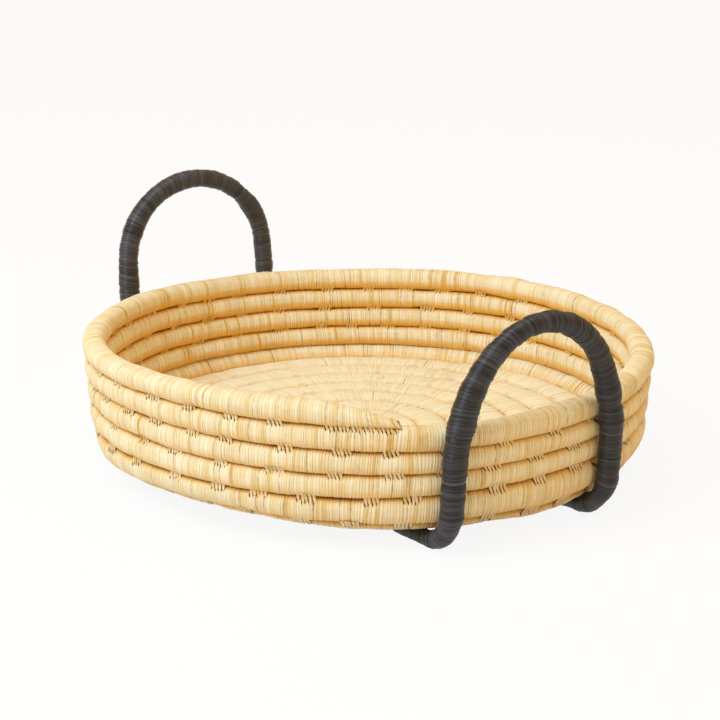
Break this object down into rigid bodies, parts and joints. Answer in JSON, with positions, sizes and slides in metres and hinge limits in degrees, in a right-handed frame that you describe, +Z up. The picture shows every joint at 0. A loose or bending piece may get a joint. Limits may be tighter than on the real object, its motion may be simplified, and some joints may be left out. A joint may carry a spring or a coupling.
{
  "type": "raffia tray",
  "caption": "Round coiled raffia tray with a low flared wall, a tapered rim end and two black raffia-wrapped cane hoops that form the handles and the runners under the floor.",
  "frame": {"origin": "on the ground under the middle of the tray with its hoops", "axes": "+Z up; +X along the runners, towards the lower hoop, which is the front one; +Y to the left of that"},
  "size_m": [0.4802, 0.4554, 0.1992],
  "materials": {
    "raffia": "natural raffia strand, satin",
    "grass": "dry grass bundle, matte",
    "black_raffia": "dyed raffia strand, satin",
    "cane": "peeled cane, satin"
  },
  "bodies": {
    "root": {"floor_coil_wrapping": "raffia", "floor_coil_filling": "grass", "corner_coil_wrapping": "raffia", "corner_coil_filling": "grass", "wall_coil_wrapping": "raffia", "wall_coil_filling": "grass", "rim_coil_wrapping": "raffia", "rim_coil_filling": "grass", "front_hoop_wrapping": "black_raffia", "front_hoop_cane": "cane", "back_hoop_wrapping": "black_raffia", "back_hoop_cane": "cane", "front_left_upper_lashing": "black_raffia", "front_left_lower_lashing": "black_raffia", "front_right_upper_lashing": "black_raffia", "front_right_lower_lashing": "black_raffia", "back_left_upper_lashing": "black_raffia", "back_left_lower_lashing": "black_raffia", "back_right_upper_lashing": "black_raffia", "back_right_lower_lashing": "black_raffia"}
  },
  "joints": []
}
